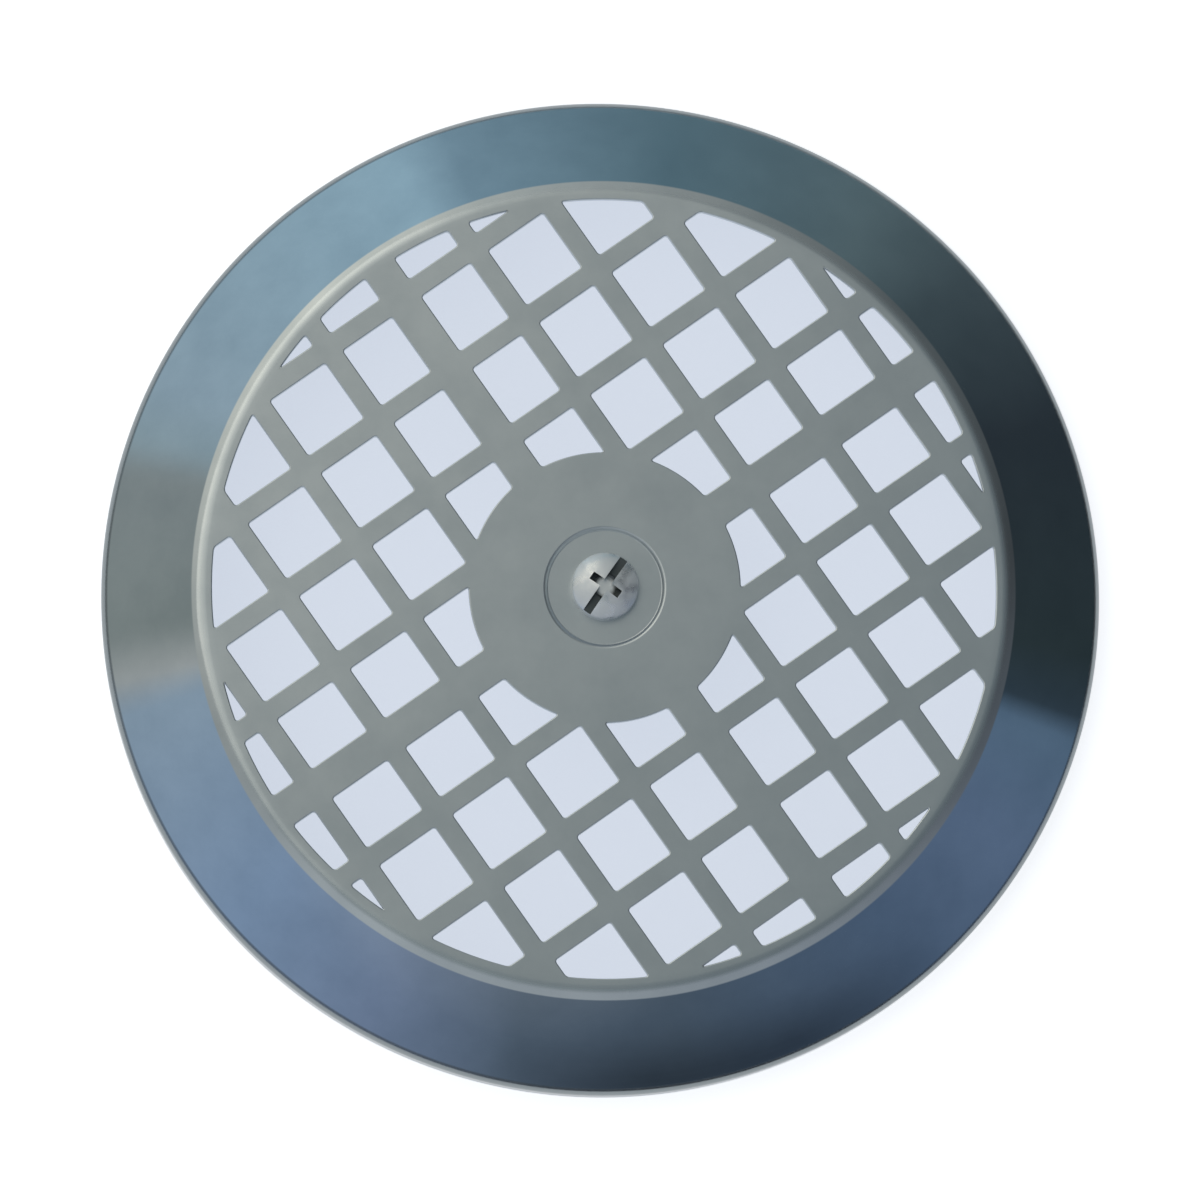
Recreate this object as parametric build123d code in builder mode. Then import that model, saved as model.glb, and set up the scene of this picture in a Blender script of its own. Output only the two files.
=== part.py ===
from build123d import *
from math import atan2, ceil, degrees, radians, tan
import os

# Round vent cover, in millimetres. It stands rim down with its face up, the origin at the
# centre of the rim plane and +Z out of the face.

# Pressed sheet
sheet_thickness = 1.0
cover_diameter = 120.0
skirt_height = 4.0
shoulder_rise = 9.2
face_diameter = 97.0
face_bend_radius = 2.0
rim_bend_radius = 0.5

# Pierced grille
cell_pitch = 10.6
bar_width = 2.6
cross_bar_width = 4.3
grille_margin = 0.7
hub_diameter = 32.5
grille_turn = 35.0
smallest_cell_area = 1.0

# Shallow dimple that seats the screw head
dimple_depth = 0.3
dimple_wall_angle = 25.0
head_room = 2.7

# Pan-head screw with a driver slot over a cross recess
thread_diameter = 4.0
screw_length = 10.0
screw_hole_clearance = 0.25
neck_diameter = 3.4
neck_past_sheet = 0.4
point_chamfer = 0.5
head_diameter = 8.0
head_height = 3.1
head_crown_radius = 6.5
recess_span = 4.4
recess_width = 1.0
recess_depth = 2.0
recess_end_angle = 26.5
slot_width = 1.0
slot_depth = 1.3
recess_turn = 55.0

# Heights above the rim plane
face_height = skirt_height + shoulder_rise
seat_height = face_height - dimple_depth
head_top = seat_height + head_height

# Radii of the pressing, at the corners where its flat, coned and straight skins would meet
cover_radius = cover_diameter / 2
face_radius = face_diameter / 2
screw_hole_radius = thread_diameter / 2 + screw_hole_clearance
dimple_floor_radius = head_diameter / 2 + head_room
dimple_radius = dimple_floor_radius + dimple_depth / tan(radians(dimple_wall_angle))

# Flat of the face, inside the tangent of the bend to the shoulder
shoulder_angle = degrees(atan2(shoulder_rise, cover_radius - face_radius))
face_bend_setback = (face_bend_radius + sheet_thickness) * tan(radians(shoulder_angle / 2))
grille_radius = face_radius - face_bend_setback - grille_margin
cell_size = cell_pitch - bar_width
cells_across = 2 * ceil(grille_radius / cell_pitch)

# Cover: the sheet's upper skin from the screw hole out to the rim, thickened downwards,
# turned about the axis and pierced. The shoulder's two bends are rounded, the dimple's are sharp.
with BuildPart() as cover:
    with BuildSketch(Plane.XZ):
        with BuildLine():
            FilletPolyline(
                (screw_hole_radius, seat_height),
                (dimple_floor_radius, seat_height),
                (dimple_radius, face_height),
                (face_radius, face_height),
                (cover_radius, skirt_height),
                (cover_radius, 0),
                radius=[0, 0, face_bend_radius + sheet_thickness, rim_bend_radius + sheet_thickness],
            )
            offset(amount=sheet_thickness, side=Side.RIGHT, kind=Kind.INTERSECTION)
        make_face()
    revolve(axis=Axis.Z)
    with BuildSketch(Plane.XY.offset(face_height).rotated((0, 0, grille_turn))) as cells:
        with GridLocations(cell_pitch, cell_pitch, cells_across, cells_across):
            Rectangle(cell_size, cell_size)
        Circle(grille_radius, mode=Mode.INTERSECT)
        Circle(hub_diameter / 2, mode=Mode.SUBTRACT)
        Rectangle(2 * grille_radius, cross_bar_width, mode=Mode.SUBTRACT)
        Rectangle(cross_bar_width, 2 * grille_radius, mode=Mode.SUBTRACT)
    pierced_cells = [cell for cell in cells.sketch.faces() if cell.area > smallest_cell_area]
    extrude(to_extrude=pierced_cells, amount=-sheet_thickness, mode=Mode.SUBTRACT)
cover.part.label = "cover"

# Centre screw: the crowned head seats on the dimple's floor and the thread hangs inside the cover.
# One arm of the cross recess lies along the slot.
with BuildPart() as centre_screw:
    with BuildSketch(Plane.XY.offset(seat_height)):
        Circle(head_diameter / 2)
    extrude(amount=head_height)
    with Locations((0, 0, head_top - head_crown_radius)):
        Sphere(head_crown_radius, mode=Mode.INTERSECT)
    neck_length = sheet_thickness + neck_past_sheet
    with BuildSketch(Plane.XY.offset(seat_height)):
        Circle(neck_diameter / 2)
    extrude(amount=-neck_length)
    with BuildSketch(Plane.XY.offset(seat_height - neck_length)):
        Circle(thread_diameter / 2)
    extrude(amount=neck_length - screw_length)
    chamfer(centre_screw.edges().group_by(Axis.Z)[0], length=point_chamfer)
    for arm_turn in (recess_turn, recess_turn + 90):
        with BuildSketch(Plane.XZ.rotated((0, 0, arm_turn))):
            with Locations((0, head_top - recess_depth / 2)):
                Trapezoid(recess_span, recess_depth, 90 - recess_end_angle, rotation=180)
        extrude(amount=recess_width / 2, both=True, mode=Mode.SUBTRACT)
    with BuildSketch(Plane.XY.offset(head_top).rotated((0, 0, recess_turn))):
        Rectangle(head_diameter, slot_width)
    extrude(amount=-slot_depth, mode=Mode.SUBTRACT)
centre_screw.part.label = "centre_screw"

os.makedirs("parts", exist_ok=True)
export_step(cover.part, "parts/cover.step")
export_step(centre_screw.part, "parts/centre_screw.step")
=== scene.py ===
from collections import defaultdict
from math import asin, atan2, ceil, cos, pi, radians, sin, tan

import bmesh
import bpy
from bpy.props import FloatProperty, FloatVectorProperty, IntProperty, PointerProperty
from bpy.types import Operator, Panel, PropertyGroup
from mathutils import Matrix, Vector


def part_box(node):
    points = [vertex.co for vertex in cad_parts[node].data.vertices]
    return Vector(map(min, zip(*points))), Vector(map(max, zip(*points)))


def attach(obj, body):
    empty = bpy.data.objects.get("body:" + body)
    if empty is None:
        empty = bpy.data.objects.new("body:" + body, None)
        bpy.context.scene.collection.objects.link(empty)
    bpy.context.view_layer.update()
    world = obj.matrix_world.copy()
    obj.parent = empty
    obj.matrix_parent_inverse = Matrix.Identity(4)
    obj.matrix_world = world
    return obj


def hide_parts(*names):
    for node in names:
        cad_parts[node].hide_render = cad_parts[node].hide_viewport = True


bl_info = {
    "name": "Round vent cover",
    "version": (1, 0, 0),
    "blender": (4, 5, 0),
    "location": "3D View > Sidebar > Vent Cover",
    "description": "Builds a pressed steel vent cover with a square-pierced face and its centre screw",
    "category": "Add Mesh",
}

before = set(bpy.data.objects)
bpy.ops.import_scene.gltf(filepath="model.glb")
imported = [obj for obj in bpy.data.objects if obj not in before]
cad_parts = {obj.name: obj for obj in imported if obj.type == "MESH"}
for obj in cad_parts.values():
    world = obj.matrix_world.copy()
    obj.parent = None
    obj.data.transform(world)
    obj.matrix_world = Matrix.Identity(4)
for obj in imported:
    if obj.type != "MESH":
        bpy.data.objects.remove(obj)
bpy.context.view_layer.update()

MM = 0.001
PICTURE_PIXELS = 1200
MERGE_DISTANCE = 1e-7
PLANE_DISTANCE = 1e-8
HOLE_CORNER = radians(15)
COVER_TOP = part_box("cover")[1].z
SCREW_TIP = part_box("centre_screw")[0].z
AXIS = Vector((0.0, 0.0, 1.0))
ORIGIN = Vector((0.0, 0.0, 0.0))


def linear(hex_colour):
    """sRGB hex as a linear RGBA tuple."""
    parts = [int(hex_colour[i:i + 2], 16) / 255 for i in (1, 3, 5)]
    return tuple(c / 12.92 if c <= 0.04045 else ((c + 0.055) / 1.055) ** 2.4 for c in parts) + (1.0,)


def length(name, millimetres, description):
    """A size in metres, written in millimetres."""
    return FloatProperty(
        name=name,
        description=description,
        default=millimetres * MM,
        min=0.0,
        unit="LENGTH",
        subtype="DISTANCE",
        precision=5,
    )


def angle(name, degrees, description):
    """An angle in radians, written in degrees."""
    return FloatProperty(name=name, description=description, default=radians(degrees), subtype="ANGLE")


def colour(name, hex_colour, description):
    """A colour written as sRGB hex."""
    return FloatVectorProperty(
        name=name,
        description=description,
        default=linear(hex_colour),
        size=4,
        min=0.0,
        max=1.0,
        subtype="COLOR",
    )


class SheetSizes(PropertyGroup):
    """Sizes of the pressed sheet."""

    thickness: length("Sheet thickness", 1.0, "Gauge of the steel sheet")
    diameter: length("Diameter", 120.0, "Outside diameter of the skirt")
    face_height: length("Face height", COVER_TOP / MM, "Height of the flat face above the rim plane")
    skirt_height: length("Skirt height", 4.0, "Height of the skirt up to its corner with the shoulder")
    face_diameter: length("Face diameter", 97.0, "Diameter at the corner of face and shoulder")
    face_bend: length("Face bend", 2.0, "Inside radius of the bend from face to shoulder")
    rim_bend: length("Rim bend", 0.5, "Inside radius of the bend from shoulder to skirt")
    shoulder_crown: length("Shoulder crown", 0.02, "How far the shoulder bulges past a straight cone")
    dimple_depth: length("Dimple depth", 0.3, "How far the screw's seat is sunk below the face")
    dimple_floor: length("Dimple floor", 13.68, "Diameter of the dimple's flat floor")
    dimple_slope: angle("Dimple slope", 40.0, "Slope of the dimple's wall")
    dimple_bend: length("Dimple bend", 0.2, "Radius between the dimple's floor and its wall")
    screw_hole: length("Screw hole", 4.5, "Diameter of the hole for the screw")
    edge_break: length("Edge break", 0.14, "Rounding left on the sheet's cut edges")
    turn_steps: IntProperty(name="Turn steps", description="Facets round the cover", default=256, min=64)


class GrilleSizes(PropertyGroup):
    """Sizes of the pierced grille."""

    pitch: length("Cell pitch", 10.6, "Distance from bar to bar")
    bar: length("Bar width", 2.6, "Width of the plain bars")
    cross_bar: length("Cross bar width", 4.3, "Width of the two bars through the hub")
    corner: length("Cell corner", 0.35, "Radius in the corners of the holes")
    margin: length("Margin", 0.7, "Plain flat between the holes and the bend")
    hub: length("Hub diameter", 32.5, "Diameter of the plain disc at the centre")
    turn: angle("Grille turn", 35.0, "Angle of the bars from +X")
    smallest_cell: FloatProperty(
        name="Smallest cell", description="Holes of a smaller area are left out", default=MM * MM, unit="AREA"
    )


class ScrewSizes(PropertyGroup):
    """Sizes of the centre screw."""

    head: length("Head diameter", 8.0, "Diameter of the pan head")
    head_height: length("Head height", 3.1, "Height of the head over its seat")
    crown: length("Crown radius", 6.5, "Radius of the head's domed top")
    head_round: length("Head rounding", 0.35, "Rounding between the head's side and its dome")
    neck: length("Neck diameter", 3.4, "Diameter of the plain neck under the head")
    neck_past_sheet: length("Neck past sheet", 0.4, "Neck left showing below the sheet")
    thread: length("Thread diameter", 4.0, "Outside diameter of the thread")
    thread_pitch: length("Thread pitch", 0.7, "Rise of the thread in one turn")
    thread_depth: length("Thread depth", 0.43, "Height of the thread's ridge")
    point: length("Point chamfer", 0.5, "Chamfer at the screw's end")
    recess_span: length("Recess span", 4.4, "Span of the cross recess, arm to arm")
    recess_width: length("Recess width", 1.0, "Width of a recess arm")
    recess_depth: length("Recess depth", 2.0, "Depth of the recess below the head's top")
    recess_end: angle("Recess end slope", 26.5, "Slope of the arms' ends from upright")
    slot_width: length("Slot width", 1.0, "Width of the driver slot")
    slot_depth: length("Slot depth", 1.3, "Depth of the driver slot below the head's top")
    recess_turn: angle("Recess turn", 55.0, "Angle of the slot and of one recess arm from +X")


class FinishColours(PropertyGroup):
    """Colours of the finishes and of the stage."""

    sheet: colour("Sheet steel", "#C9CFD0", "Bright rolled steel")
    sheet_dull: colour("Dull steel", "#BDC4C6", "The same steel where the roll left it duller")
    inside: colour("Inside", "#A7ABAC", "Mill finish left on the cover's inside")
    zinc: colour("Zinc plate", "#E9EBEB", "Zinc on the screw, gone pale with bloom")
    # Dark grey painted into the ends of the recess arms as shade
    oil: colour("Old oil", "#5E6465", "Dark oil left in the screw's recess")
    # Dull drawn steel at the rim, darkened further as painted shade
    dull_edge_and_painted_shade: colour("Drawn edge", "#83898B", "Steel left dull where the die drew the rim")
    floor: colour("Floor", "#EEF2F8", "Pale floor")
    floor_glow: colour("Floor glow", "#E2E2E3", "Light that the floor gives off where it is seen")
    # Blue-grey disc under the cover: painted shade seen through the holes
    mat: colour("Mat", "#A6A8AD", "Blue-grey mat that the cover stands on")
    painted_shade_disc_glow: colour("Mat glow", "#C4CBD7", "Light that the mat gives off where it is seen")


class VentCoverSettings(PropertyGroup):
    """Everything that a user of the vent cover may change."""

    sheet: PointerProperty(type=SheetSizes)
    grille: PointerProperty(type=GrilleSizes)
    screw: PointerProperty(type=ScrewSizes)
    colours: PointerProperty(type=FinishColours)


# Mesh helpers


def wire(bm, points):
    """An open wire through the points, in order, and its vertices."""
    verts = [bm.verts.new(p) for p in points]
    edges = [bm.edges.new(pair) for pair in zip(verts, verts[1:])]
    return verts, edges


def vert_at(bm, point):
    """The vertex nearest to a point."""
    return min(bm.verts, key=lambda v: (v.co - Vector(point)).length)


def round_corner(bm, point, radius, segments):
    """Rounds the corner of a wire that lies at a point to an arc of the given radius."""
    corner = vert_at(bm, point)
    first, second = (e.other_vert(corner).co - corner.co for e in corner.link_edges)
    setback = radius / tan(first.angle(second) / 2)
    bmesh.ops.bevel(
        bm,
        geom=[corner],
        offset=setback,
        offset_type="OFFSET",
        segments=segments,
        profile=0.5,
        affect="VERTICES",
        material=-1,
    )


def turn_about_axis(bm, steps):
    """Turns everything in the bmesh into a closed surface about the Z axis."""
    bmesh.ops.spin(
        bm,
        geom=bm.verts[:] + bm.edges[:],
        cent=ORIGIN,
        axis=AXIS,
        angle=2 * pi,
        steps=steps,
        use_merge=True,
    )
    bmesh.ops.remove_doubles(bm, verts=bm.verts[:], dist=MERGE_DISTANCE)


def soften_edges(bm, edges, radius, segments):
    """Rounds edges of a solid."""
    bmesh.ops.bevel(
        bm,
        geom=edges,
        offset=radius,
        offset_type="OFFSET",
        segments=segments,
        profile=0.5,
        affect="EDGES",
        material=-1,
    )


def shade_smooth(bm, sharp_angle, flat_radius=0.0):
    """Smooth faces. Edges sharper than the angle stay crisp, and so do those that bound the level faces
    within a radius of the axis."""
    for face in bm.faces:
        face.smooth = True
    for edge in bm.edges:
        level = [abs(f.normal.z) > 0.9999 for f in edge.link_faces]
        reach = max(v.co.xy.length for v in edge.verts)
        borders_flat = any(level) and not all(level) and reach < flat_radius
        edge.smooth = edge.is_manifold and edge.calc_face_angle() < sharp_angle and not borders_flat


def loose_object(bm, name):
    """The bmesh as a plain object in the scene."""
    mesh = bpy.data.meshes.new(name)
    bm.to_mesh(mesh)
    bm.free()
    made = bpy.data.objects.new(name, mesh)
    bpy.context.scene.collection.objects.link(made)
    return made


def finished_piece(bm, name, node, materials):
    """The bmesh as a piece that stands for a CAD node and rides on the part."""
    piece = loose_object(bm, name)
    for material in materials:
        piece.data.materials.append(material)
    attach(piece, "root")
    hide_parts(node)
    return piece


# Materials


def add_node(tree, kind, inputs=None, **settings):
    """Adds a node, sets its settings and sets or links its inputs."""
    made = tree.nodes.new(kind)
    for key, value in settings.items():
        setattr(made, key, value)
    for key, value in (inputs or {}).items():
        if isinstance(value, bpy.types.NodeSocket):
            tree.links.new(value, made.inputs[key])
        else:
            made.inputs[key].default_value = value
    return made


def new_material(name):
    """An empty node material and its tree."""
    material = bpy.data.materials.new(name)
    material.use_nodes = True
    tree = material.node_tree
    tree.nodes.clear()
    return material, tree


def per_metre(millimetres):
    """Texture scale that gives a feature of that size."""
    return 1 / (millimetres * MM)


def radius_about_axis(tree, place):
    """Distance of a place from the Z axis."""
    flat = add_node(tree, "ShaderNodeVectorMath", {0: place, 1: (1, 1, 0)}, operation="MULTIPLY").outputs[0]
    return add_node(tree, "ShaderNodeVectorMath", {0: flat}, operation="LENGTH").outputs["Value"]


def bright_rolled_steel(settings):
    """Bright rolled steel sheet: satin where it stayed flat, smoothed to a polish where the die drew it over
    the shoulder. The eye sees a soft grey face and a shoulder that mirrors the room."""
    sheet = settings.sheet
    material, tree = new_material("bright_rolled_steel")
    place = add_node(tree, "ShaderNodeTexCoord").outputs["Object"]
    radius = radius_about_axis(tree, place)
    polish = add_node(
        tree,
        "ShaderNodeMapRange",
        {
            "Value": radius,
            "From Min": sheet.face_diameter / 2 - sheet.face_bend / 2,
            "From Max": sheet.face_diameter / 2 + sheet.face_bend / 3,
        },
        interpolation_type="SMOOTHSTEP",
    ).outputs["Result"]

    # Rolling grain, 0.25 mm across and drawn out along the sheet
    grain_place = add_node(
        tree, "ShaderNodeMapping", {"Vector": place, "Rotation": (0, 0, radians(20)), "Scale": (0.08, 1, 1)}
    ).outputs["Vector"]
    grain = add_node(
        tree, "ShaderNodeTexNoise", {"Vector": grain_place, "Scale": per_metre(0.25), "Detail": 3.0}
    ).outputs["Fac"]

    # Drawing lines round the shoulder, 0.6 mm apart
    rings = add_node(
        tree,
        "ShaderNodeTexNoise",
        {"W": radius, "Scale": per_metre(0.6), "Detail": 2.0},
        noise_dimensions="1D",
    ).outputs["Fac"]

    # Duller clouds, 9 mm across
    clouds = add_node(
        tree, "ShaderNodeTexNoise", {"Vector": place, "Scale": per_metre(9), "Detail": 4.0, "Roughness": 0.6}
    ).outputs["Fac"]
    dull = add_node(
        tree, "ShaderNodeMapRange", {"Value": clouds, "From Min": 0.35, "From Max": 0.7}
    ).outputs["Result"]
    rolled = add_node(
        tree,
        "ShaderNodeMixRGB",
        {"Fac": dull, "Color1": settings.colours.sheet, "Color2": settings.colours.sheet_dull},
    ).outputs["Color"]

    # Edge that the die drew dull, from the rim's bend down the skirt, its colour darkened further as painted
    # shade so that the rim doesn't mirror the pale floor
    rim = sheet.diameter / 2
    rim_dull_and_shade = add_node(
        tree,
        "ShaderNodeMapRange",
        {"Value": radius, "From Min": rim - 0.85 * MM, "From Max": rim - 0.6 * MM},
        interpolation_type="SMOOTHSTEP",
    ).outputs["Result"]
    tone = add_node(
        tree, "ShaderNodeMixRGB", {"Fac": rim_dull_and_shade, "Color1": rolled, "Color2": settings.colours.dull_edge_and_painted_shade}
    ).outputs["Color"]

    satin = add_node(
        tree, "ShaderNodeMapRange", {"Value": clouds, "To Min": 0.30, "To Max": 0.38}
    ).outputs["Result"]
    mirror = add_node(
        tree, "ShaderNodeMapRange", {"Value": rings, "To Min": 0.03, "To Max": 0.06}
    ).outputs["Result"]
    smooth = add_node(
        tree, "ShaderNodeMix", {"Factor": polish, "A": satin, "B": mirror}, data_type="FLOAT"
    ).outputs["Result"]
    roughness = add_node(
        tree, "ShaderNodeMix", {"Factor": rim_dull_and_shade, "A": smooth, "B": 0.25}, data_type="FLOAT"
    ).outputs["Result"]
    strength = add_node(
        tree, "ShaderNodeMapRange", {"Value": polish, "To Min": 0.12, "To Max": 0.0}
    ).outputs["Result"]
    bump = add_node(
        tree, "ShaderNodeBump", {"Height": grain, "Strength": strength, "Distance": 0.02 * MM}
    ).outputs["Normal"]
    shader = add_node(
        tree,
        "ShaderNodeBsdfPrincipled",
        {"Base Color": tone, "Metallic": 1.0, "Roughness": roughness, "Normal": bump},
    ).outputs["BSDF"]
    add_node(tree, "ShaderNodeOutputMaterial", {"Surface": shader})
    return material


def mill_finish_steel(settings):
    """The sheet's inside, left as it came from the mill: an even dull grey with soft clouds."""
    material, tree = new_material("mill_finish_steel")
    place = add_node(tree, "ShaderNodeTexCoord").outputs["Object"]
    clouds = add_node(
        tree,
        "ShaderNodeTexNoise",
        {"Vector": place, "Scale": per_metre(12), "Detail": 5.0, "Roughness": 0.65},
    ).outputs["Fac"]
    roughness = add_node(
        tree, "ShaderNodeMapRange", {"Value": clouds, "To Min": 0.36, "To Max": 0.52}
    ).outputs["Result"]
    grain = add_node(
        tree, "ShaderNodeTexNoise", {"Vector": place, "Scale": per_metre(0.4), "Detail": 3.0}
    ).outputs["Fac"]
    bump = add_node(
        tree, "ShaderNodeBump", {"Height": grain, "Strength": 0.15, "Distance": 0.02 * MM}
    ).outputs["Normal"]
    shader = add_node(
        tree,
        "ShaderNodeBsdfPrincipled",
        {"Base Color": settings.colours.inside, "Metallic": 1.0, "Roughness": roughness, "Normal": bump},
    ).outputs["BSDF"]
    add_node(tree, "ShaderNodeOutputMaterial", {"Surface": shader})
    return material


def bloomed_zinc_plate(settings):
    """Zinc plating over the screw's forged steel, bright in patches and pale with bloom between them."""
    material, tree = new_material("bloomed_zinc_plate")
    place = add_node(tree, "ShaderNodeTexCoord").outputs["Object"]
    patches = add_node(
        tree, "ShaderNodeTexNoise", {"Vector": place, "Scale": per_metre(1.5), "Detail": 3.0}
    ).outputs["Fac"]
    bare = add_node(
        tree,
        "ShaderNodeMapRange",
        {"Value": patches, "From Min": 0.38, "From Max": 0.62, "To Min": 0.25, "To Max": 0.75},
    ).outputs["Result"]
    roughness = add_node(
        tree,
        "ShaderNodeMapRange",
        {"Value": bare, "From Min": 0.25, "From Max": 0.75, "To Min": 0.46, "To Max": 0.26},
    ).outputs["Result"]
    bump = add_node(
        tree, "ShaderNodeBump", {"Height": patches, "Strength": 0.15, "Distance": 0.04 * MM}
    ).outputs["Normal"]
    shader = add_node(
        tree,
        "ShaderNodeBsdfPrincipled",
        {"Base Color": settings.colours.zinc, "Metallic": bare, "Roughness": roughness, "Normal": bump},
    ).outputs["BSDF"]
    add_node(tree, "ShaderNodeOutputMaterial", {"Surface": shader})
    return material


def worn_recess_with_painted_shade(settings):
    """Inside of the driver's recess: bare and bright at the centre where the driver rubs, and painted darker
    towards the ends of the arms as shade deep in the recess."""
    material, tree = new_material("worn_recess_with_painted_shade")
    place = add_node(tree, "ShaderNodeTexCoord").outputs["Object"]
    radius = radius_about_axis(tree, place)
    smear = add_node(
        tree, "ShaderNodeTexNoise", {"Vector": place, "Scale": per_metre(0.7), "Detail": 4.0}
    ).outputs["Fac"]
    ragged = add_node(
        tree, "ShaderNodeMath", {0: smear, 1: 0.8 * MM, 2: radius}, operation="MULTIPLY_ADD"
    ).outputs[0]
    # Painted shade: darker towards the ends of the recess arms
    oil = add_node(
        tree, "ShaderNodeMapRange", {"Value": ragged, "From Min": 1.2 * MM, "From Max": 1.8 * MM}
    ).outputs["Result"]
    tone = add_node(
        tree,
        "ShaderNodeMixRGB",
        {"Fac": oil, "Color1": settings.colours.zinc, "Color2": settings.colours.oil},
    ).outputs["Color"]
    roughness = add_node(
        tree, "ShaderNodeMapRange", {"Value": oil, "To Min": 0.3, "To Max": 0.5}
    ).outputs["Result"]
    shader = add_node(
        tree, "ShaderNodeBsdfPrincipled", {"Base Color": tone, "Metallic": 1.0, "Roughness": roughness}
    ).outputs["BSDF"]
    add_node(tree, "ShaderNodeOutputMaterial", {"Surface": shader})
    return material


# Cover


def grille_radius(sheet, grille):
    """Radius that the holes reach: inside the bend and the plain margin."""
    slope = atan2(sheet.face_height - sheet.skirt_height, (sheet.diameter - sheet.face_diameter) / 2)
    setback = (sheet.face_bend + sheet.thickness) * tan(slope / 2)
    return sheet.face_diameter / 2 - setback - grille.margin


def dimple_radius(sheet):
    """Radius of the dimple's mouth, where its wall meets the face."""
    return sheet.dimple_floor / 2 + sheet.dimple_depth / tan(sheet.dimple_slope)


def pressed_skin(bm, sheet, grille):
    """The sheet's upper skin from the screw hole out to the rim, as a surface turned about the axis."""
    face = sheet.face_height
    seat = face - sheet.dimple_depth
    corners = [
        (sheet.screw_hole / 2, seat),
        (sheet.dimple_floor / 2, seat),
        (dimple_radius(sheet), face),
        (grille.hub / 2, face),
        (grille_radius(sheet, grille), face),
        (sheet.face_diameter / 2, face),
        (sheet.diameter / 2, sheet.skirt_height),
        (sheet.diameter / 2, 0.0),
    ]
    points = [(r, 0.0, z) for r, z in corners]
    wire(bm, points)
    bends = {1: sheet.dimple_bend, 5: sheet.face_bend + sheet.thickness, 6: sheet.rim_bend + sheet.thickness}
    for place, radius in bends.items():
        round_corner(bm, points[place], radius, segments=10)
    crown_shoulder(bm, sheet)
    turn_about_axis(bm, sheet.turn_steps)
    bmesh.ops.recalc_face_normals(bm, faces=bm.faces[:])
    if sum(f.normal.z * f.calc_area() for f in bm.faces) < 0:
        bmesh.ops.reverse_faces(bm, faces=bm.faces[:])


def crown_shoulder(bm, sheet):
    """Bulges the shoulder's straight run a little, as a pressing springs back. Its facets are finest at the
    two bends, so that the bends' shading doesn't spread into it."""
    sloping = [e for e in bm.edges if abs(e.verts[0].co.z - e.verts[1].co.z) > MM]
    run = max(sloping, key=lambda e: e.calc_length())
    start, end = (v.co.copy() for v in run.verts)
    cuts = 31
    made = bmesh.ops.subdivide_edges(bm, edges=[run], cuts=cuts)["geom_inner"]
    along = end - start
    out = Vector((abs(along.z), 0.0, abs(along.x))).normalized()
    inner = [v for v in made if isinstance(v, bmesh.types.BMVert)]
    inner.sort(key=lambda v: (v.co - start).length)
    for step, vert in enumerate(inner, 1):
        share = (1 - cos(pi * step / (cuts + 1))) / 2
        vert.co = start + along * share + out * sheet.shoulder_crown * 4 * share * (1 - share)


def in_ring(point, inner, outer):
    """Whether a point lies between two radii about the axis."""
    return inner < point.xy.length < outer


def cell_of(point, grille):
    """Row and column of the hole that a point of the face lies in, or None on a bar."""
    turned = Matrix.Rotation(-grille.turn, 2) @ point.xy
    place = []
    for along in turned:
        nearest_bar = round(along / grille.pitch)
        half_bar = (grille.bar if nearest_bar else grille.cross_bar) / 2
        if abs(along - nearest_bar * grille.pitch) < half_bar:
            return None
        place.append(int(along // grille.pitch))
    return tuple(place)


def pierce_grille(bm, sheet, grille):
    """Cuts the face along the edges of every bar and takes out the holes."""
    inner = grille.hub / 2
    outer = grille_radius(sheet, grille)
    edge_lines = [-grille.cross_bar / 2, grille.cross_bar / 2]
    for bar in range(1, ceil(outer / grille.pitch) + 1):
        for middle in (-bar * grille.pitch, bar * grille.pitch):
            edge_lines += [middle - grille.bar / 2, middle + grille.bar / 2]
    flat = [f for f in bm.faces if in_ring(f.calc_center_median(), inner, outer)]
    for turn in (grille.turn, grille.turn + pi / 2):
        across = Vector((cos(turn), sin(turn), 0.0))
        for line in edge_lines:
            if abs(line) < outer:
                geom = set(flat)
                for face in flat:
                    geom.update(face.edges)
                    geom.update(face.verts)
                bmesh.ops.bisect_plane(
                    bm, geom=list(geom), dist=PLANE_DISTANCE, plane_co=across * line, plane_no=across
                )
                flat = [f for f in bm.faces if in_ring(f.calc_center_median(), inner, outer)]

    holes = defaultdict(list)
    for face in flat:
        cell = cell_of(face.calc_center_median(), grille)
        if cell:
            holes[cell].append(face)
    for faces in holes.values():
        if sum(f.calc_area() for f in faces) > grille.smallest_cell:
            bmesh.ops.delete(bm, geom=faces, context="FACES")

    # The turned facets' radial edges aren't needed across the flat bars
    radial = []
    for edge in bm.edges:
        middle = (edge.verts[0].co + edge.verts[1].co) / 2
        along = (edge.verts[1].co - edge.verts[0].co).normalized()
        if len(edge.link_faces) == 2 and in_ring(middle, inner, outer):
            if abs(along.cross(middle.xy.to_3d().normalized()).z) < sin(radians(0.5)):
                radial.append(edge)
    bmesh.ops.dissolve_edges(bm, edges=radial, use_verts=True)
    clear_corners(bm, grille)


def boundary_turn(vert):
    """Angle that the sheet's open edge turns through at a vertex."""
    arms = [e.other_vert(vert).co - vert.co for e in vert.link_edges if e.is_boundary]
    return pi - arms[0].angle(arms[1]) if len(arms) == 2 else 0.0


def clear_corners(bm, grille):
    """Takes out the turned facets' vertices that lie too near a hole's corner for it to be rounded."""
    room = 1.3 * grille.corner
    corners = {v for v in bm.verts if boundary_turn(v) > HOLE_CORNER}
    crowding = set()
    for corner in corners:
        for edge in corner.link_edges:
            other = edge.other_vert(corner)
            if edge.is_boundary and other not in corners and edge.calc_length() < room:
                crowding.add(other)
    bmesh.ops.dissolve_verts(bm, verts=list(crowding))


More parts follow.
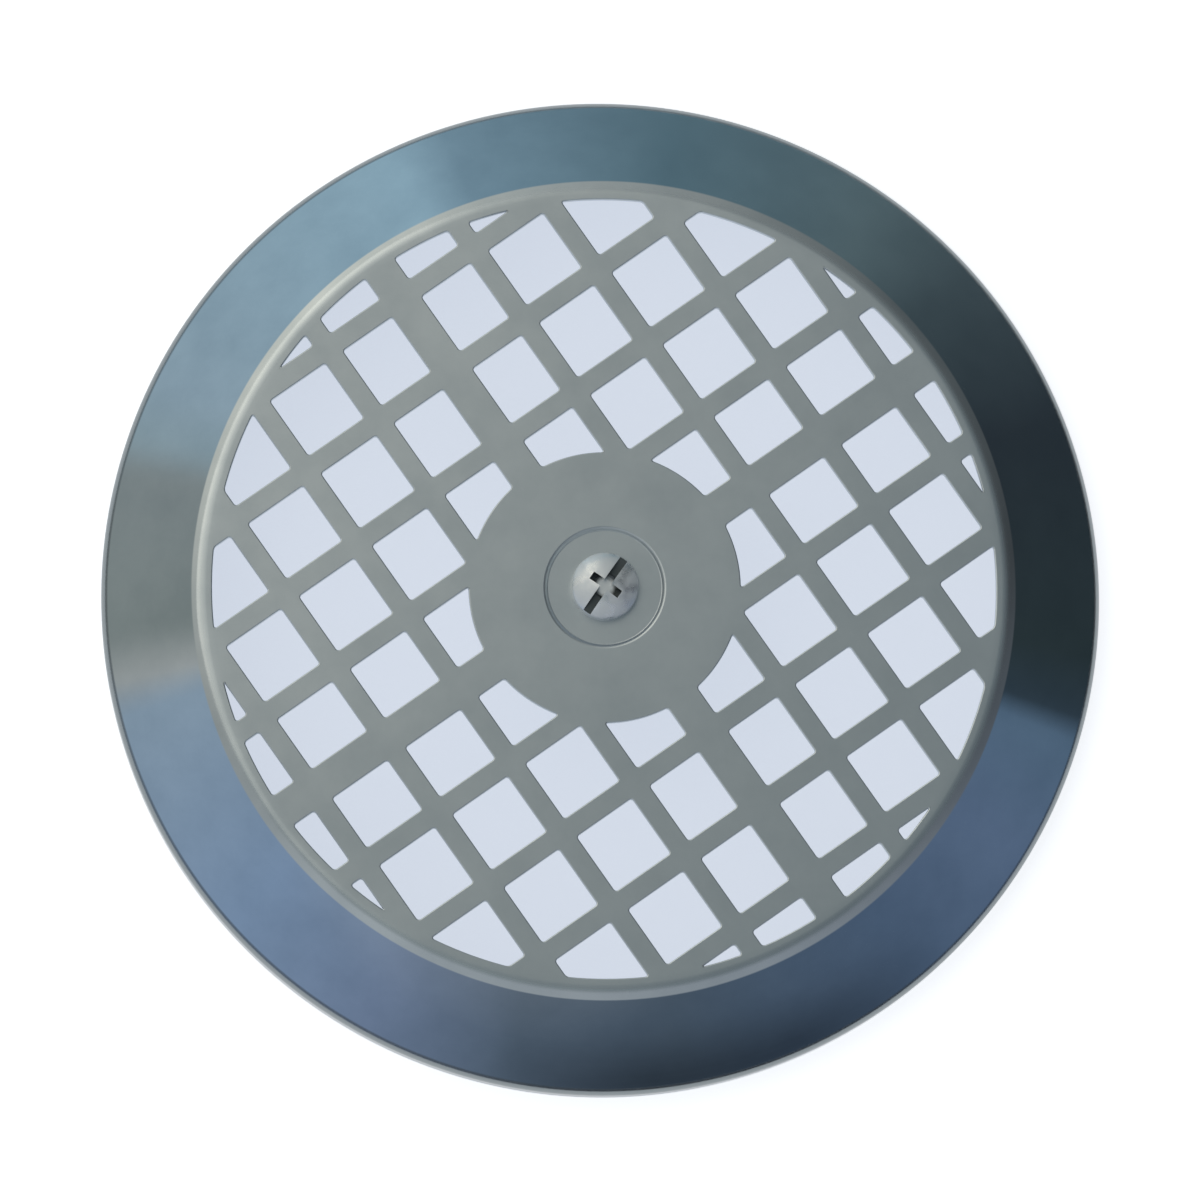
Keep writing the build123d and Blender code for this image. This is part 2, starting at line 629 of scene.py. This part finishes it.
def is_upright(face):
    """Whether a face stands parallel to the axis."""
    return abs(face.normal.z) < 0.1


def corner_room(corner, corners):
    """Rounding that the two walls beside a hole's corner have room for."""
    rooms = []
    for wall in corner.link_faces:
        width = max(e.calc_length() for e in wall.edges if e.verts[0].co.z == e.verts[1].co.z)
        shared = any(e in corners for e in wall.edges if e is not corner)
        rooms.append(width * (0.45 if shared else 0.9))
    return min(rooms)


def round_hole_corners(bm, grille, outer):
    """Rounds the upright corners of the holes, less where a clipped hole has a short wall."""
    corners = {
        e
        for e in bm.edges
        if e.is_manifold
        and in_ring(e.verts[0].co, grille.hub / 2 - MM / 10, outer)
        and all(is_upright(f) for f in e.link_faces)
        and e.calc_face_angle() > HOLE_CORNER
    }
    rooms = {e: corner_room(e, corners) for e in corners}
    roomy = [e for e in corners if rooms[e] >= grille.corner]
    soften_edges(bm, roomy, grille.corner, segments=3)
    for corner, room in rooms.items():
        if corner.is_valid and room < grille.corner:
            soften_edges(bm, [corner], room, segments=3)
    bm.normal_update()


def build_cover(settings):
    """The cover as one piece of sheet: pressed, pierced, given its gauge and its worn edges."""
    sheet, grille = settings.sheet, settings.grille
    bm = bmesh.new()
    pressed_skin(bm, sheet, grille)
    pierce_grille(bm, sheet, grille)
    bmesh.ops.solidify(bm, geom=bm.faces[:], thickness=sheet.thickness)
    bmesh.ops.recalc_face_normals(bm, faces=bm.faces[:])
    bm.normal_update()

    outer = grille_radius(sheet, grille) + MM / 10
    round_hole_corners(bm, grille, outer)
    cut_edges = [
        e
        for e in bm.edges
        if e.is_manifold
        and e.verts[0].co.xy.length > sheet.dimple_floor / 2
        and sum(is_upright(f) for f in e.link_faces) == 1
        and sum(abs(f.normal.z) > 0.95 for f in e.link_faces) == 1
    ]
    soften_edges(bm, cut_edges, sheet.edge_break, segments=2)
    mouth = dimple_radius(sheet)
    near = MM / 1000
    at_mouth = {
        v for v in bm.verts if v.co.z > sheet.face_height - near and abs(v.co.xy.length - mouth) < near
    }
    dimple_edges = [e for e in bm.edges if at_mouth.issuperset(e.verts)]
    soften_edges(bm, dimple_edges, sheet.edge_break, segments=3)
    bm.normal_update()

    for face in bm.faces:
        middle = face.calc_center_median()
        past_face = middle.xy.length > sheet.face_diameter / 2
        inside_skirt = past_face and face.normal.dot(middle.xy.to_3d()) < 0
        face.material_index = 1 if face.normal.z < -0.3 or inside_skirt else 0
    shade_smooth(bm, radians(20), outer)
    finishes = [bright_rolled_steel(settings), mill_finish_steel(settings)]
    return finished_piece(bm, "pressed_cover", "cover", finishes)


# Centre screw


def build_screw(settings):
    """The pan-head screw: domed head with a slot over a cross recess, plain neck, and a cut thread."""
    sheet, screw = settings.sheet, settings.screw
    seat = sheet.face_height - sheet.dimple_depth
    bm = bmesh.new()
    neck_end = seat - sheet.thickness - screw.neck_past_sheet
    head_and_neck(bm, seat, neck_end, screw)
    cut_thread(bm, neck_end, screw)
    bmesh.ops.remove_doubles(bm, verts=bm.verts[:], dist=MERGE_DISTANCE)
    bmesh.ops.recalc_face_normals(bm, faces=bm.faces[:])
    bm = cut_recess(bm, seat + screw.head_height, screw)
    bm.normal_update()
    shade_smooth(bm, radians(32))
    finishes = [bloomed_zinc_plate(settings), worn_recess_with_painted_shade(settings)]
    return finished_piece(bm, "pan_head_screw", "centre_screw", finishes)


def head_and_neck(bm, seat, neck_end, screw):
    """Turned skin of the head and neck, from the crown's top down to the neck's end."""
    head_radius = screw.head / 2
    top = seat + screw.head_height
    crown_turn = asin(head_radius / screw.crown)
    centre = Vector((0.0, 0.0, top - screw.crown))
    start = bm.verts.new((0.0, 0.0, top))
    bmesh.ops.spin(bm, geom=[start], cent=centre, axis=(0, 1, 0), angle=crown_turn, steps=14)
    rim = max(bm.verts, key=lambda v: v.co.x)
    below = [(head_radius, seat), (screw.neck / 2, seat), (screw.neck / 2, neck_end)]
    path = [rim] + [bm.verts.new((r, 0.0, z)) for r, z in below]
    for pair in zip(path, path[1:]):
        bm.edges.new(pair)
    round_corner(bm, rim.co.copy(), screw.head_round, segments=4)
    turn_about_axis(bm, steps=96)


def prism(bm, outline, width, turn):
    """Closed prism: an upright outline of (reach, height) pairs, given a width and turned about the axis."""
    face = bm.faces.new([bm.verts.new((reach, -width / 2, height)) for reach, height in outline])
    grown = bmesh.ops.extrude_face_region(bm, geom=[face])["geom"]
    verts = [g for g in grown if isinstance(g, bmesh.types.BMVert)]
    bmesh.ops.translate(bm, verts=verts, vec=(0.0, width, 0.0))
    turned = Matrix.Rotation(turn, 3, AXIS)
    bmesh.ops.rotate(bm, verts=list(face.verts) + verts, cent=ORIGIN, matrix=turned)


def driver_cutter(top, screw):
    """Solid that the driver's recess is cut with: two arms of a cross, and the slot along one of them."""
    clear = top + MM
    arm_floor, slot_floor = top - screw.recess_depth, top - screw.slot_depth
    wide, slot_end = screw.recess_span / 2, screw.head
    narrow = wide - screw.recess_depth * tan(screw.recess_end)
    arm = [(-narrow, arm_floor), (narrow, arm_floor), (wide, top)]
    arm += [(wide, clear), (-wide, clear), (-wide, top)]
    slot = [(-slot_end, slot_floor), (slot_end, slot_floor), (slot_end, clear), (-slot_end, clear)]
    bm = bmesh.new()
    prism(bm, arm, screw.recess_width, screw.recess_turn)
    prism(bm, arm, screw.recess_width, screw.recess_turn + pi / 2)
    prism(bm, slot, screw.slot_width, screw.recess_turn)
    bmesh.ops.recalc_face_normals(bm, faces=bm.faces[:])
    return bm


def cut_recess(bm, top, screw):
    """The screw with the driver's recess cut out of its crown. The recess gets the second material."""
    tool = driver_cutter(top, screw)
    for face in tool.faces:
        face.material_index = 1
    blank, cutter = loose_object(bm, "screw_blank"), loose_object(tool, "driver_cutter")
    for thing in (blank, cutter):
        thing.data.materials.append(None)
        thing.data.materials.append(None)
    cut = blank.modifiers.new("recess", "BOOLEAN")
    cut.operation, cut.solver, cut.object, cut.use_self = "DIFFERENCE", "EXACT", cutter, True
    cut.material_mode = "INDEX"
    finished = bmesh.new()
    finished.from_object(blank, bpy.context.evaluated_depsgraph_get())
    for spare in (blank, cutter):
        mesh = spare.data
        bpy.data.objects.remove(spare)
        bpy.data.meshes.remove(mesh)
    return finished


def open_edges(bm, level):
    """Open edges that lie at a height."""
    at_level = {v for v in bm.verts if abs(v.co.z - level) < MERGE_DISTANCE}
    return [e for e in bm.edges if e.is_boundary and at_level.issuperset(e.verts)]


def cut_thread(bm, neck_end, screw):
    """Helical thread from the neck down to the chamfered point."""
    root, crest = screw.thread / 2 - screw.thread_depth, screw.thread / 2
    pitch, steps = screw.thread_pitch, 48
    turns = ceil((neck_end - SCREW_TIP) / pitch) + 2
    bottom = SCREW_TIP - pitch
    # Radius along one ridge, and share of the pitch
    tooth = [(root, 0.0), (root, 0.22), (crest, 0.48), (crest, 0.74), (root, 1.0)]
    before = set(bm.verts)
    verts, edges = wire(bm, [(r, 0.0, bottom + z * pitch) for r, z in tooth])
    bmesh.ops.spin(
        bm,
        geom=verts + edges,
        cent=ORIGIN,
        axis=AXIS,
        dvec=(0.0, 0.0, pitch / steps),
        angle=2 * pi * turns,
        steps=steps * turns,
    )
    made = [v for v in bm.verts if v not in before]
    bmesh.ops.remove_doubles(bm, verts=made, dist=1e-6)
    for level, normal in ((SCREW_TIP, -AXIS), (neck_end, AXIS)):
        made = [v for v in bm.verts if v not in before]
        geom = set(made)
        for vert in made:
            geom.update(vert.link_edges)
            geom.update(vert.link_faces)
        bmesh.ops.bisect_plane(
            bm, geom=list(geom), dist=PLANE_DISTANCE, plane_co=AXIS * level, plane_no=normal, clear_outer=True
        )
    made = [v for v in bm.verts if v not in before]
    for vert in made:
        limit = crest - screw.point + max(0.0, vert.co.z - SCREW_TIP)
        reach = vert.co.xy.length
        if reach > limit:
            vert.co.xy *= limit / reach
    bmesh.ops.contextual_create(bm, geom=open_edges(bm, SCREW_TIP))
    bmesh.ops.bridge_loops(bm, edges=open_edges(bm, neck_end))


# Stage


def aim(thing, place, target, up):
    """Points a lamp or camera from a place to a target, with the picture's up along the given direction."""
    back = (place - target).normalized()
    right = up.cross(back).normalized()
    turned = Matrix((right, back.cross(right), back)).transposed()
    thing.matrix_world = Matrix.Translation(place) @ turned.to_4x4()


def direction_at(azimuth, elevation):
    """Unit vector towards an azimuth from +X and an elevation, in degrees."""
    a, e = radians(azimuth), radians(elevation)
    return Vector((cos(a) * cos(e), sin(a) * cos(e), sin(e)))


def build_camera(settings):
    """Camera that looks down on the cover from a little to the near side, as the photograph does."""
    distance = 1.213
    cover_pixels = 998
    to_camera = direction_at(249.5, 82.8)
    upright = AXIS.rotation_difference(to_camera) @ Vector((0.0, 1.0, 0.0))
    target = Vector((0.0, 0.0, settings.sheet.skirt_height / 2))
    picture_width = settings.sheet.diameter * PICTURE_PIXELS / cover_pixels
    data = bpy.data.cameras.new("camera")
    data.sensor_width = 36.0
    data.lens = data.sensor_width * distance / picture_width
    data.shift_x, data.shift_y = Vector((-0.7, -1.8)) / PICTURE_PIXELS
    data.clip_start, data.clip_end = 0.05, 30.0
    camera = bpy.data.objects.new("camera", data)
    bpy.context.scene.collection.objects.link(camera)
    aim(camera, target + to_camera * distance, target, upright)
    bpy.context.scene.camera = camera


def build_floor(settings):
    """Pale floor with a blue-grey disc under the cover, painted shade for what the holes show. Both glow for
    the camera and in reflections, so that the floor reads as white, and keep the shadow that falls on them."""
    bm = bmesh.new()
    bmesh.ops.create_circle(bm, cap_ends=True, segments=96, radius=6.0)
    floor = loose_object(bm, "floor")
    material, tree = new_material("pale_floor")
    seen = add_node(tree, "ShaderNodeLightPath").outputs
    direct = add_node(
        tree, "ShaderNodeMath", {0: seen["Is Camera Ray"], 1: seen["Is Glossy Ray"]}, operation="MAXIMUM"
    ).outputs[0]
    shown = add_node(
        tree, "ShaderNodeMath", {0: direct, 1: seen["Is Transmission Ray"]}, operation="MAXIMUM"
    ).outputs[0]
    place = add_node(tree, "ShaderNodeTexCoord").outputs["Object"]
    reach = add_node(tree, "ShaderNodeVectorMath", {0: place}, operation="LENGTH").outputs["Value"]
    # Within the rim the floor turns to the blue-grey disc, painted shade under the cover
    painted_shade_disc_edge = settings.sheet.diameter / 2 - settings.sheet.thickness
    past_painted_shade_disc = add_node(
        tree, "ShaderNodeMapRange", {"Value": reach, "From Min": painted_shade_disc_edge - 2 * MM, "From Max": painted_shade_disc_edge}
    ).outputs["Result"]
    tones = settings.colours
    paint_tone = add_node(
        tree, "ShaderNodeMixRGB", {"Fac": past_painted_shade_disc, "Color1": tones.mat, "Color2": tones.floor}
    ).outputs["Color"]
    glow_tone = add_node(
        tree, "ShaderNodeMixRGB", {"Fac": past_painted_shade_disc, "Color1": tones.painted_shade_disc_glow, "Color2": tones.floor_glow}
    ).outputs["Color"]
    paint = add_node(tree, "ShaderNodeBsdfDiffuse", {"Color": paint_tone}).outputs["BSDF"]
    light = add_node(tree, "ShaderNodeEmission", {"Color": glow_tone, "Strength": shown}).outputs["Emission"]
    both = add_node(tree, "ShaderNodeAddShader", {0: paint, 1: light}).outputs["Shader"]
    behind = add_node(tree, "ShaderNodeNewGeometry").outputs["Backfacing"]
    clear = add_node(tree, "ShaderNodeBsdfTransparent").outputs["BSDF"]
    one_sided = add_node(tree, "ShaderNodeMixShader", {0: behind, 1: both, 2: clear}).outputs["Shader"]
    add_node(tree, "ShaderNodeOutputMaterial", {"Surface": one_sided})
    floor.data.materials.append(material)


# Cards round the object: azimuth in degrees and colour, blended from one to the next
STUDIO_CARDS = [
    (0, "#333F44"),
    (27, "#343D45"),
    (45, "#4C5A61"),
    (56, "#65787F"),
    (80, "#668290"),
    (104, "#8EACBF"),
    (110, "#AACADD"),
    (147, "#ACC2D2"),
    (154, "#A6BAC5"),
    (158, "#9BA3A5"),
    (178, "#979F9E"),
    (184, "#BABDBD"),
    (188, "#A4B8CC"),
    (218, "#94ABCB"),
    (240, "#8697B6"),
    (260, "#627184"),
    (283, "#59687A"),
    (316, "#5C708C"),
    (336, "#6B7F9E"),
    (350, "#647C96"),
    (353, "#3A4854"),
]


# The same higher up, where the bend into the shoulder mirrors them: a bright card at the left, a dark right
UPPER_CARDS = [
    (12, "#4B4F53"),
    (48, "#686E71"),
    (92, "#B8BDBD"),
    (124, "#FAF9F0"),
    (165, "#D3D4CF"),
    (194, "#ABAFAF"),
    (228, "#BFC5CA"),
    (304, "#A0A7B1"),
    (345, "#686E77"),
]


def ring_of_cards(tree, turn, cards):
    """Colour of the cards at a turn about the axis, given as a share of the whole circle."""
    ramp = add_node(tree, "ShaderNodeValToRGB", {"Fac": turn})
    (first, first_tone), (last, last_tone) = cards[0], cards[-1]
    share = (360 - last) / (360 - last + first)
    joint = [a + (b - a) * share for a, b in zip(linear(last_tone), linear(first_tone))]
    stops = [(0, joint)] + [(azimuth, linear(tone)) for azimuth, tone in cards if azimuth] + [(360, joint)]
    elements = ramp.color_ramp.elements
    while len(elements) < len(stops):
        elements.new(0.5)
    for element, (azimuth, tone) in zip(elements, stops):
        element.position = azimuth / 360
        element.color = tone
    return ramp.outputs["Color"]


def build_world():
    """Surroundings that the polished shoulder mirrors: cool and warm cards near the horizon with a dark one
    before them on the near side, more cards above them, and a grey ceiling that is lighter on the left."""
    world = bpy.data.worlds.new("studio")
    bpy.context.scene.world = world
    world.use_nodes = True
    tree = world.node_tree
    tree.nodes.clear()
    towards = add_node(tree, "ShaderNodeTexCoord").outputs["Generated"]
    parts = add_node(tree, "ShaderNodeSeparateXYZ", {0: towards}).outputs
    turn = add_node(tree, "ShaderNodeMath", {0: parts["Y"], 1: parts["X"]}, operation="ARCTAN2").outputs[0]
    share = add_node(tree, "ShaderNodeMath", {0: turn, 1: 1 / (2 * pi)}, operation="MULTIPLY").outputs[0]
    whole = add_node(tree, "ShaderNodeMath", {0: share, 1: 1.0}, operation="ADD").outputs[0]
    wrapped = add_node(tree, "ShaderNodeMath", {0: whole}, operation="FRACT").outputs[0]

    # Dark card before the lower ones, its top edge leaning so that the near shoulder mirrors it level
    near_side = direction_at(288, 0)
    leaning = AXIS - direction_at(249.5, 0) * 0.11
    facing = add_node(
        tree, "ShaderNodeVectorMath", {0: towards, 1: near_side}, operation="DOT_PRODUCT"
    ).outputs["Value"]
    beside = add_node(
        tree, "ShaderNodeMapRange", {"Value": facing, "From Min": 0.82, "From Max": 0.95}
    ).outputs["Result"]
    height = add_node(
        tree, "ShaderNodeVectorMath", {0: towards, 1: leaning}, operation="DOT_PRODUCT"
    ).outputs["Value"]
    below = add_node(
        tree, "ShaderNodeMapRange", {"Value": height, "From Min": 0.2005, "From Max": 0.1825}
    ).outputs["Result"]
    dark = add_node(tree, "ShaderNodeMath", {0: beside, 1: below}, operation="MULTIPLY").outputs[0]
    dimmed = add_node(tree, "ShaderNodeMath", {0: dark, 1: -0.6, 2: 1.0}, operation="MULTIPLY_ADD").outputs[0]
    wall = add_node(
        tree,
        "ShaderNodeVectorMath",
        {0: ring_of_cards(tree, wrapped, STUDIO_CARDS), "Scale": dimmed},
        operation="SCALE",
    ).outputs[0]

    above = add_node(
        tree,
        "ShaderNodeMapRange",
        {"Value": parts["Z"], "From Min": sin(radians(17.2)), "From Max": sin(radians(25))},
    ).outputs["Result"]
    upper_wall = ring_of_cards(tree, wrapped, UPPER_CARDS)
    walls = add_node(
        tree, "ShaderNodeMixRGB", {"Fac": above, "Color1": wall, "Color2": upper_wall}
    ).outputs["Color"]
    across = add_node(
        tree,
        "ShaderNodeMapRange",
        {"Value": parts["X"], "From Min": -0.2, "From Max": 0.25},
        interpolation_type="SMOOTHSTEP",
    ).outputs["Result"]
    ceiling = add_node(
        tree, "ShaderNodeMixRGB", {"Fac": across, "Color1": linear("#949DA0"), "Color2": linear("#717C82")}
    ).outputs["Color"]
    rise = add_node(
        tree,
        "ShaderNodeMapRange",
        {"Value": parts["Z"], "From Min": sin(radians(52)), "From Max": sin(radians(70))},
        interpolation_type="SMOOTHSTEP",
    ).outputs["Result"]
    room = add_node(
        tree, "ShaderNodeMixRGB", {"Fac": rise, "Color1": walls, "Color2": ceiling}
    ).outputs["Color"]
    background = add_node(tree, "ShaderNodeBackground", {"Color": room}).outputs["Background"]
    add_node(tree, "ShaderNodeOutputWorld", {"Surface": background})


def build_lamp(name, azimuth, elevation, width, height, energy):
    """Soft lamp half a metre from the cover, turned to it."""
    distance = 0.5
    data = bpy.data.lights.new(name, "AREA")
    data.shape = "RECTANGLE"
    data.size, data.size_y = width, height
    data.energy = energy
    data.color = linear("#FFF8EC")[:3]
    lamp = bpy.data.objects.new(name, data)
    bpy.context.scene.collection.objects.link(lamp)
    aim(lamp, direction_at(azimuth, elevation) * distance, ORIGIN, AXIS)


# Add-on


class VENTCOVER_OT_cover(Operator):
    """Build the pressed and pierced cover"""

    bl_idname = "ventcover.cover"
    bl_label = "Cover"

    def execute(self, context):
        build_cover(context.scene.vent_cover)
        return {"FINISHED"}


class VENTCOVER_OT_screw(Operator):
    """Build the pan-head screw at the hub's centre"""

    bl_idname = "ventcover.screw"
    bl_label = "Centre screw"

    def execute(self, context):
        build_screw(context.scene.vent_cover)
        return {"FINISHED"}


class VENTCOVER_OT_stage(Operator):
    """Set the floor, surroundings, lamp and camera"""

    bl_idname = "ventcover.stage"
    bl_label = "Stage"

    def execute(self, context):
        settings = context.scene.vent_cover
        build_camera(settings)
        build_floor(settings)
        build_world()
        build_lamp("high_light", 145, 66, 0.45, 0.36, 0.22)
        context.scene.view_settings.view_transform = "Standard"
        return {"FINISHED"}


class VENTCOVER_PT_panel(Panel):
    """Sizes, colours and building steps of the vent cover"""

    bl_idname = "VENTCOVER_PT_panel"
    bl_label = "Vent cover"
    bl_space_type = "VIEW_3D"
    bl_region_type = "UI"
    bl_category = "Vent Cover"

    def draw(self, context):
        settings = context.scene.vent_cover
        for group in (settings.sheet, settings.grille, settings.screw, settings.colours):
            box = self.layout.box()
            for key in group.__annotations__:
                box.prop(group, key)
        for operator in (VENTCOVER_OT_cover, VENTCOVER_OT_screw, VENTCOVER_OT_stage):
            self.layout.operator(operator.bl_idname)


CLASSES = (
    SheetSizes,
    GrilleSizes,
    ScrewSizes,
    FinishColours,
    VentCoverSettings,
    VENTCOVER_OT_cover,
    VENTCOVER_OT_screw,
    VENTCOVER_OT_stage,
    VENTCOVER_PT_panel,
)


def register():
    for cls in CLASSES:
        bpy.utils.register_class(cls)
    bpy.types.Scene.vent_cover = PointerProperty(type=VentCoverSettings)


def unregister():
    del bpy.types.Scene.vent_cover
    for cls in reversed(CLASSES):
        bpy.utils.unregister_class(cls)


def main():
    register()
    bpy.ops.ventcover.cover()
    bpy.ops.ventcover.screw()
    bpy.ops.ventcover.stage()


if __name__ == "__main__":
    main()
